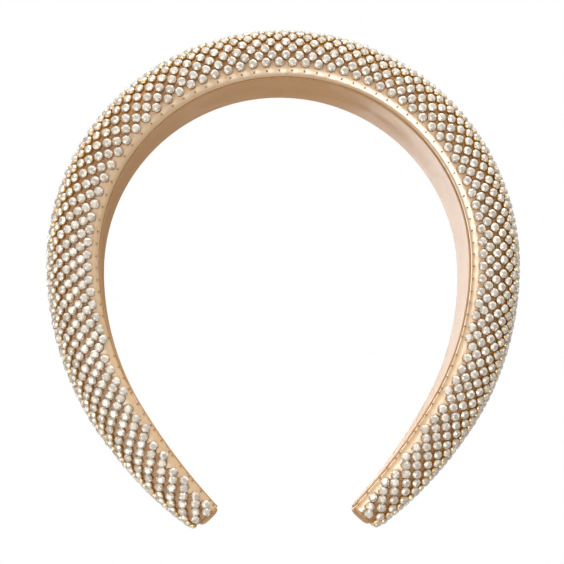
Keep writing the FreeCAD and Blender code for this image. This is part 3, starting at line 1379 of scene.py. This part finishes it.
@dataclass(frozen=True)
class CutStones:
    """The glass stones: a table, eight stars, eight kites and sixteen girdle facets."""

    girdle_radius: float = 1.44 * MM
    table_radius: float = 0.74 * MM
    middle_radius: float = 1.08 * MM
    base: float = 0.85 * MM
    girdle: float = 1.08 * MM
    table: float = 1.78 * MM

    def template(self) -> tuple[Array, list[Face], list[Facet], list[int]]:
        """Cut one stone.

        Returns:
            Its points, its triangles, the kind of facet that each lies on and that facet's number.
        """
        eighth = math.pi / 4.0
        middle_run = self.middle_radius * math.cos(eighth / 2.0) - self.table_radius
        whole_run = self.girdle_radius - self.table_radius
        middle = self.table + (self.girdle - self.table) * middle_run / whole_run
        rings = (
            (8, self.table_radius, self.table, 0.5),
            (8, self.middle_radius, middle, 0.0),
            (16, self.girdle_radius, self.girdle, 0.0),
            (16, self.girdle_radius, self.base, 0.0),
        )
        points = []
        for count, radius, height, shift in rings:
            for k in range(count):
                angle = (k + shift) * 2.0 * math.pi / count
                points.append((radius * math.cos(angle), radius * math.sin(angle), height))
        faces: list[Face] = []
        kinds: list[Facet] = []
        numbers: list[int] = []

        def cut(kind: Facet, number: int, *triangles: Face) -> None:
            """Add a facet's triangles."""
            for triangle in triangles:
                faces.append(triangle)
                kinds.append(kind)
                numbers.append(number)

        cut(Facet.TABLE, 0, *[(0, k, k + 1) for k in range(1, 7)])
        for k in range(8):
            after = (k + 1) % 8
            table, far_table, near, far = k, after, 8 + k, 8 + after
            point, next_point, last_point = 16 + 2 * k + 1, 16 + (2 * k + 2) % 16, 16 + 2 * k
            cut(Facet.STAR, 1 + k, (table, 8 + after, far_table))
            cut(Facet.KITE, 9 + k, (table, near, point), (table, point, far))
            cut(Facet.GIRDLE, 17 + 2 * k, (near, last_point, point))
            cut(Facet.GIRDLE, 18 + 2 * k, (far, point, next_point))
        for k in range(16):
            high, next_high = 16 + k, 16 + (k + 1) % 16
            low, next_low = high + 16, next_high + 16
            cut(Facet.BACK, 33, (high, low, next_low), (high, next_low, next_high))
        cut(Facet.BACK, 33, *[(32, 32 + k + 1, 32 + k) for k in range(1, 15)])
        return np.array(points), faces, kinds, numbers

    def painted_reflection_tones(self, kinds: list[Facet], numbers: list[int], count: int, side: Side) -> Array:
        """Give every facet of every stone its painted reflection tone.

        Args:
            kinds: the kind of facet under each of a stone's triangles.
            numbers: the facet's number under each triangle.
            count: how many stones there are.
            side: the half, which seeds the draw.

        Returns:
            A painted reflection tone for each triangle of all the stones.
        """
        random = np.random.default_rng(SEED + 40 + int(side.value))
        # More facets get a dim painted reflection than a bright painted glint
        draw = random.random((count, max(numbers) + 1)) ** 1.6
        low = np.array([kind.value[0] for kind in kinds])
        high = np.array([kind.value[1] for kind in kinds])
        return (low + (high - low) * draw[:, numbers]).ravel()

    def build(self, side: Side, seats: Seats, turns: Array, material: bpy.types.Material) -> Piece:
        """Build one half's stones.

        Args:
            side: the half.
            seats: the stones' places.
            turns: their axes.
            material: the stones' material.

        Returns:
            The piece.
        """
        points, faces, kinds, numbers = self.template()
        points[:, 2] -= StoneCups.sink
        placed, copies = stamped(points, faces, seats.centre, turns)
        piece = new_piece("stones_" + side.word, placed, copies, smooth=False)
        # Each facet's painted reflection tone
        attribute = piece.data.attributes.new("facet_tone", "FLOAT", "FACE")
        painted_reflection_tones = self.painted_reflection_tones(kinds, numbers, len(seats.s), side)
        attribute.data.foreach_set("value", painted_reflection_tones.astype(np.float32))
        dress(piece, material, layer_nodes("stones", side))
        BAND.follow(piece, side)
        return piece


# ---------------------------------------------------------------- satin and ribbon


@dataclass(frozen=True)
class StitchLine:
    """Where the stitches go: one below each edge stone."""

    first: float = 1.0 * MM
    last: float = 1.8 * MM

    def places(self, seats: Seats) -> tuple[Array, Array]:
        """Return s and signed w of each stitch's middle."""
        edge = seats.outermost
        reach = seats.room[edge] + (self.first + self.last) / 2.0
        return seats.s[edge], np.sign(seats.w[edge]) * reach


@dataclass(frozen=True)
class SatinCover:
    """The satin stretched over the pad, with both edges folded in under it."""

    thickness: float = 0.45 * MM
    fold_depth: float = 6.0 * MM
    fold_depth_share: float = 0.6
    spacing: float = 0.7 * MM
    dome_steps: int = 26
    side_steps: int = 10
    fold_steps: int = 4
    pucker_depth: float = 0.12 * MM
    pucker_size: float = 0.9 * MM
    pucker_reach: float = 3.6 * MM

    def build(
        self, side: Side, seats: Seats, stitches: StitchLine, material: bpy.types.Material
    ) -> Piece:
        """Build one half.

        Args:
            side: the half.
            seats: the stones.
            stitches: the line that pulls the satin in.
            material: the satin.

        Returns:
            The piece.
        """
        s = stations(side, BAND.end, self.spacing)
        y, r = BAND.half_outline(s, LAYERS.cover_inset, self.dome_steps, self.side_steps)
        reach = BAND.half_width(s, LAYERS.cover_inset)
        inner = reach - np.minimum(self.fold_depth, self.fold_depth_share * reach)
        share = np.linspace(0.0, 1.0, self.fold_steps + 1)[1:]
        fold_y = y[:, -1:] + (inner[:, None] - y[:, -1:]) * share
        fold_r = BAND.fold_level + 0.0 * fold_y
        y, r = both_sides(np.hstack([y, fold_y]), np.hstack([r, fold_r]))
        steps = np.hypot(np.diff(y, axis=1), np.diff(r, axis=1))
        w = np.hstack([np.zeros((len(s), 1)), np.cumsum(steps, axis=1)])
        w -= w[:, w.shape[1] // 2][:, None]
        normal_y, normal_r = outward(y, r)
        dip = self.puckers(s, w, *stitches.places(seats))
        top = BAND.place(s[:, None], y - dip * normal_y, r - dip * normal_r)
        depth = self.thickness + dip
        under = BAND.place(s[:, None], y - depth * normal_y, r - depth * normal_r)
        piece = closed_sheet("satin_cover_" + side.word, top, under, cloth_map(s[:, None], w))
        dress(piece, material, layer_nodes("satin_cover", side))
        BAND.follow(piece, side)
        return piece

    def puckers(self, s: Array, w: Array, stitch_s: Array, stitch_w: Array) -> Array:
        """Find how far the stitches pull the satin in.

        Args:
            s: places of the sections.
            w: distances from the crest, a section per row.
            stitch_s: where the stitches are along the band.
            stitch_w: where they are across it.

        Returns:
            The dip at each point of the grid.
        """
        dip = np.zeros_like(w)
        for place, across in zip(stitch_s, stitch_w):
            rows = np.flatnonzero(np.abs(s - place) < self.pucker_reach)
            apart = (s[rows, None] - place) ** 2 + (w[rows] - across) ** 2
            dip[rows] += self.pucker_depth * np.exp(-apart / (2.0 * self.pucker_size ** 2))
        return dip


@dataclass(frozen=True)
class EdgeStitches:
    """Short bars of twisted thread that hold the mesh down, one below each edge stone."""

    radius: float = 0.2 * MM
    plies: int = 2
    segments: int = 8
    rings: int = 7
    twists: float = 1.2

    def bar(self, length: float) -> tuple[Array, list[Face]]:
        """Twist one bar of thread along its own x axis.

        Args:
            length: the bar's length.

        Returns:
            Points and faces of its plies.
        """
        points: list[Array] = []
        faces: list[Face] = []
        angle = np.arange(self.segments) * 2.0 * math.pi / self.segments
        for ply in range(self.plies):
            first = len(points)
            for ring in range(self.rings):
                share = ring / (self.rings - 1.0)
                twist = 2.0 * math.pi * (self.twists * share + ply / self.plies)
                thin = self.radius * (0.55 + 0.45 * math.sin(math.pi * share))
                # A bar arches off the cloth and dives into it at both ends
                lift = self.radius * (2.2 * math.sin(math.pi * share) - 0.9)
                out = 0.6 * self.radius
                middle = np.array([0.0, out * math.cos(twist), out * math.sin(twist) + lift])
                for turn in angle:
                    rim = np.array([0.0, thin * math.cos(turn), thin * math.sin(turn)])
                    points.append(middle + rim + np.array([(share - 0.5) * length, 0.0, 0.0]))
            for ring in range(self.rings - 1):
                for k in range(self.segments):
                    low = first + ring * self.segments
                    high = low + self.segments
                    after = (k + 1) % self.segments
                    faces.append((low + k, low + after, high + after, high + k))
            last = first + (self.rings - 1) * self.segments
            faces.append(tuple(first + k for k in reversed(range(self.segments))))
            faces.append(tuple(last + k for k in range(self.segments)))
        return np.array(points), faces

    def build(
        self, side: Side, seats: Seats, stitches: StitchLine, material: bpy.types.Material
    ) -> Piece:
        """Build one half's stitches.

        Args:
            side: the half.
            seats: the stones.
            stitches: where the stitches go.
            material: the thread.

        Returns:
            The piece.
        """
        s, w = stitches.places(seats)
        ruler = Ruler(s, LAYERS.cover_inset)
        centres, axes = [], []
        for index in range(len(s)):
            y, r = ruler.points(index, w[index] + np.array([-0.3, 0.0, 0.3]) * MM)
            centre = BAND.place(s[index], y[1], r[1])
            across = BAND.place(s[index], y[2], r[2]) - BAND.place(s[index], y[0], r[0])
            across /= np.linalg.norm(across)
            _, _, angle, _ = BAND.arch.at(s[index])
            along = np.array([math.cos(angle), 0.0, -math.sin(angle)])
            out = np.cross(along, across)
            centres.append(centre)
            axes.append(np.stack([across, np.cross(out, across), out], axis=-1))
        points, faces = self.bar(stitches.last - stitches.first)
        placed, copies = stamped(points, faces, np.array(centres), np.array(axes))
        piece = new_piece("edge_stitches_" + side.word, placed, copies)
        dress(piece, material, layer_nodes("edge_stitches", side))
        BAND.follow(piece, side)
        return piece


@dataclass(frozen=True)
class LiningRibbon:
    """The satin ribbon glued along the inner face, over the cover's folded edges."""

    side_margin: float = 2.9 * MM
    thickness: float = 0.5 * MM
    edge_ease: float = 0.28 * MM
    selvedge: float = 1.0 * MM
    selvedge_rise: float = 0.06 * MM
    spacing: float = 1.5 * MM
    steps_across: int = 28

    def build(self, side: Side, material: bpy.types.Material) -> Piece:
        """Build one half."""
        s = stations(side, BAND.end, self.spacing)[:, None]
        reach = BAND.half_width(s, LAYERS.cover_inset) - self.side_margin
        share = np.sin(np.linspace(-math.pi / 2.0, math.pi / 2.0, self.steps_across + 1))
        y = reach * share
        edge = np.clip(1.0 - (reach - np.abs(y)) / self.selvedge, 0.0, 1.0)
        low = self.edge_ease * edge ** 2
        # The selvedge is a little thicker than the ribbon
        from_ridge = ((reach - np.abs(y)) - self.selvedge) / (0.3 * self.selvedge)
        ridge = self.selvedge_rise * np.exp(-from_ridge ** 2)
        top = BAND.place(s, y, low - ridge + self.selvedge_rise)
        under = BAND.place(s, y, self.thickness + 0.0 * y)
        piece = closed_sheet("lining_ribbon_" + side.word, top, under, cloth_map(s, y))
        dress(piece, material, layer_nodes("lining_ribbon", side))
        BAND.follow(piece, side)
        return piece


@dataclass(frozen=True)
class TipWrap:
    """The satin that closes a tip, gathered over the end in small pleats."""

    thickness: float = 0.4 * MM
    rings: int = 9
    dome_steps: int = 18
    side_steps: int = 6
    pleats: int = 14
    pleat_depth: float = 0.12 * MM
    overlap: float = 0.05 * MM
    # A rectangle with its corners cut off keeps this share of its area
    cut_share: float = 0.75

    def outline(self, s: float) -> tuple[Array, Array]:
        """Return the closed outline of the band's end at s, front to back and along the inner face."""
        y, r = BAND.half_outline(np.array([s]), LAYERS.cover_inset, self.dome_steps, self.side_steps)
        y, r = both_sides(y, r)
        span = np.linspace(1.0, -1.0, 10)[1:-1] * y[0, -1]
        return np.concatenate([y[0], span]), np.concatenate([r[0], 0.0 * span + BAND.fold_level])

    def build(self, side: Side, material: bpy.types.Material) -> Piece:
        """Build the cap as a thin closed shell that rides on its arm."""
        start = BAND.end + self.overlap
        y, r = self.outline(side.value * start)
        middle = (r.max() + r.min()) / 2.0
        around = np.arctan2(r - middle, y)
        surfaces = []
        for depth in (0.0, self.thickness):
            rings = []
            for k in range(self.rings):
                turn = k / self.rings * math.pi / 2.0
                shrink = math.cos(turn) ** 0.6
                ahead = (BAND.wrap_length - depth) * math.sin(turn)
                pleat = self.pleat_depth * math.sin(turn * 2.0) * np.cos(self.pleats * around)
                size = np.hypot(y, r - middle)
                scale = shrink * (1.0 - (depth + pleat) / size)
                s = side.value * (start + ahead)
                rings.append(BAND.place(s, y * scale, middle + (r - middle) * scale))
            tip = BAND.place(side.value * (start + BAND.wrap_length - depth), 0.0, middle)
            surfaces.append(np.concatenate([np.concatenate(rings), tip[None]]))
        count, ring = len(surfaces[0]), len(y)
        faces: list[Face] = []
        for base, flip in ((0, False), (count, True)):
            for k in range(self.rings - 1):
                for j in range(ring):
                    after = (j + 1) % ring
                    low, high = base + k * ring, base + (k + 1) * ring
                    face = (low + j, low + after, high + after, high + j)
                    faces.append(face[::-1] if flip else face)
            last = base + (self.rings - 1) * ring
            for j in range(ring):
                face = (last + j, last + (j + 1) % ring, base + count - 1)
                faces.append(face[::-1] if flip else face)
        rim_from = len(faces)
        for j in range(ring):
            after = (j + 1) % ring
            faces.append((after, j, count + j, count + after))
        points = np.concatenate(surfaces)
        if side is Side.LEFT:
            faces = [face[::-1] for face in faces]
        cloth = np.stack([points[:, 1], points[:, 2]], axis=-1)
        piece = new_piece("gathered_tip_" + side.word, points, faces, uv=cloth, flat_from=rim_from)
        dress(piece, material, ("tip_wrap_" + side.word,))
        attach(piece, side.arm)
        return piece


# ---------------------------------------------------------------- studio


@dataclass(frozen=True)
class SoftBox:
    """A soft light: where it stands, how large it is and how strong.

    A light that is gloss only shows in glossy surfaces and adds nothing to matt ones, as a white card
    held near the band does.
    """

    name: str
    stand: tuple[float, float, float]
    size: float
    watts: float
    colour: str = "#FFFFFF"
    gloss_only: bool = False

    def build(self, target: Vector) -> None:
        """Add the light, aimed at the target."""
        data = bpy.data.lights.new(self.name, "AREA")
        data.shape = "DISK"
        data.size = self.size
        data.energy = self.watts
        data.color = linear(self.colour)[:3]
        lamp = bpy.data.objects.new(self.name, data)
        lamp.location = Vector(self.stand)
        lamp.rotation_mode = "QUATERNION"
        lamp.rotation_quaternion = (target - lamp.location).to_track_quat("-Z", "Y")
        lamp.visible_camera = False
        lamp.visible_diffuse = not self.gloss_only
        bpy.context.scene.collection.objects.link(lamp)


@dataclass(frozen=True)
class Studio:
    """The camera, the lights, the white surround and the floor.

    The surround is brightest along surround_way: to the front, to the right and above.
    """

    lens: float = 110.0
    sensor: float = 36.0
    distance: float = 573.0 * MM
    yaw_deg: float = 3.151
    pitch_deg: float = -6.848
    roll_deg: float = -0.281
    aside: float = 0.545 * MM
    above: float = 5.538 * MM
    arch_centre: tuple[float, float, float] = (0.0, 0.0, -60.0 * MM)
    floor_level: float = -1200.0 * MM
    floor_size: float = 24.0
    surround_low: str = "#7A7268"
    surround_high: str = "#FFFEFC"
    surround_strength: float = 1.0
    surround_way: tuple[float, float, float] = (0.4, -0.75, 0.25)
    lights: tuple[SoftBox, ...] = (
        SoftBox("key", (-0.75, -0.85, -0.35), 0.7, 1.0, "#FFF8EE"),
        SoftBox("gloss_card", (-0.6, -0.9, -0.6), 1.3, 44.0, "#FFFDF8", gloss_only=True),
        SoftBox("top", (0.0, -0.35, 0.95), 0.8, 12.0),
        SoftBox("back", (-0.45, 1.15, 0.05), 0.8, 9.0, "#FFFFFF", gloss_only=True),
    )

    def camera(self) -> None:
        """Add the camera, facing the band's front from a little below and to the left."""
        yaw, pitch, roll = (math.radians(turn) for turn in (self.yaw_deg, self.pitch_deg, self.roll_deg))
        turns = ((roll, "Y"), (pitch, "X"), (yaw, "Z"))
        first, second, third = (Matrix.Rotation(turn, 3, axis) for turn, axis in turns)
        back = (first @ second @ third).transposed()
        stand = -(back @ Vector((self.aside, self.distance, self.above))) + Vector(self.arch_centre)
        axes = Matrix([back @ Vector(way) for way in ((1, 0, 0), (0, 0, 1), (0, -1, 0))]).transposed()
        data = bpy.data.cameras.new("camera")
        data.lens = self.lens
        data.sensor_width = self.sensor
        data.clip_start, data.clip_end = 0.01, 20.0
        camera = bpy.data.objects.new("camera", data)
        camera.matrix_world = Matrix.Translation(stand) @ axes.to_4x4()
        bpy.context.scene.collection.objects.link(camera)
        bpy.context.scene.camera = camera

    def surround(self) -> None:
        """Light the band from a pale room that is brighter one way, and show plain white behind it."""
        world = bpy.data.worlds.new("surround")
        world.use_nodes = True
        tree = world.node_tree
        tree.nodes.clear()
        where = add(tree, "ShaderNodeTexCoord", {}, {})
        facing = add(
            tree,
            "ShaderNodeVectorMath",
            {"operation": "DOT_PRODUCT", 1: self.surround_way},
            {0: where.outputs["Generated"]},
        )
        share = add(tree, "ShaderNodeMapRange", {"From Min": -1.0}, {"Value": facing.outputs["Value"]})
        shade = add(
            tree,
            "ShaderNodeValToRGB",
            {"ramp": ((0.0, self.surround_low), (1.0, self.surround_high))},
            {"Fac": share.outputs["Result"]},
        )
        room = add(
            tree,
            "ShaderNodeBackground",
            {"Strength": self.surround_strength},
            {"Color": shade.outputs["Color"]},
        )
        plain = add(tree, "ShaderNodeBackground", {"Color": (1.0, 1.0, 1.0, 1.0)}, {})
        path = add(tree, "ShaderNodeLightPath", {}, {})
        both = add(
            tree,
            "ShaderNodeMixShader",
            {},
            {0: path.outputs["Is Camera Ray"], 1: room.outputs[0], 2: plain.outputs[0]},
        )
        add(tree, "ShaderNodeOutputWorld", {}, {"Surface": both.outputs[0]})
        bpy.context.scene.world = world

    def floor(self) -> None:
        """Lay the floor."""
        reach = self.floor_size / 2.0
        corners = np.array([(-reach, -reach), (reach, -reach), (reach, reach), (-reach, reach)])
        points = np.column_stack([corners, np.full(4, self.floor_level)])
        board = new_piece("floor", points, [(0, 1, 2, 3)], smooth=False)
        board.data.materials.append(PaintedBoard().material())

    def build(self) -> None:
        """Set up the whole studio."""
        self.camera()
        self.surround()
        self.floor()
        for light in self.lights:
            light.build(Vector(self.arch_centre))
        bpy.context.scene.view_settings.view_transform = "Standard"


# ---------------------------------------------------------------- the headband


@dataclass(frozen=True)
class Headband:
    """The whole band: its hidden core, its satin, its rhinestone mesh and its tips."""

    hoop: SpringHoop = SpringHoop()
    foam: FoamPad = FoamPad()
    cover: SatinCover = SatinCover()
    lining: LiningRibbon = LiningRibbon()
    net: BackingNet = BackingNet()
    grid: StoneGrid = StoneGrid()
    cups: StoneCups = StoneCups()
    stones: CutStones = CutStones()
    stitch_line: StitchLine = StitchLine()
    stitches: EdgeStitches = EdgeStitches()
    wrap: TipWrap = TipWrap()
    cover_satin: WovenSatin = WovenSatin(
        "cover_satin", shade="#C49C6A", ground="#D0AC7C", light="#DCBD91"
    )
    # The ribbon shows its dull side
    lining_satin: WovenSatin = WovenSatin(
        "lining_satin",
        shade="#B78752",
        ground="#C2935D",
        light="#CDA26F",
        specular=0.25,
        sheen=0.0,
        float_gloss=0.0,
    )

    def build(self) -> None:
        """Build every piece of both halves, in order from the core outwards."""
        cover = self.cover_satin.material()
        lining = self.lining_satin.material()
        plastic, foam = DrawnAcetal().material(), CutFoam().material()
        net, brass = KnittedNet().material(), StampedBrass().material()
        glass, thread = FoiledGlass().material(), TwistedThread().material()
        seats = {side: self.grid.seats(side) for side in Side}
        for side in Side:
            own = seats[side]
            other = seats[Side.LEFT if side is Side.RIGHT else Side.RIGHT]
            turns = self.grid.turned(own, side)
            pieces = (
                self.hoop.build(side, plastic),
                self.foam.build(side, foam),
                self.cover.build(side, own, self.stitch_line, cover),
                self.lining.build(side, lining),
                self.net.build(side, own, other, net),
                self.cups.build(side, own, turns, brass),
                self.stones.build(side, own, turns, glass),
                self.stitches.build(side, own, self.stitch_line, thread),
                self.wrap.build(side, lining),
            )
            for piece in pieces:
                LOG.info("%s: %d faces", piece.name, len(piece.data.polygons))


def main() -> None:
    """Build the headband and the studio."""
    logging.basicConfig(level=logging.INFO, format="%(name)s: %(message)s")
    Headband().build()
    Studio().build()


if __name__ == "__main__":
    main()
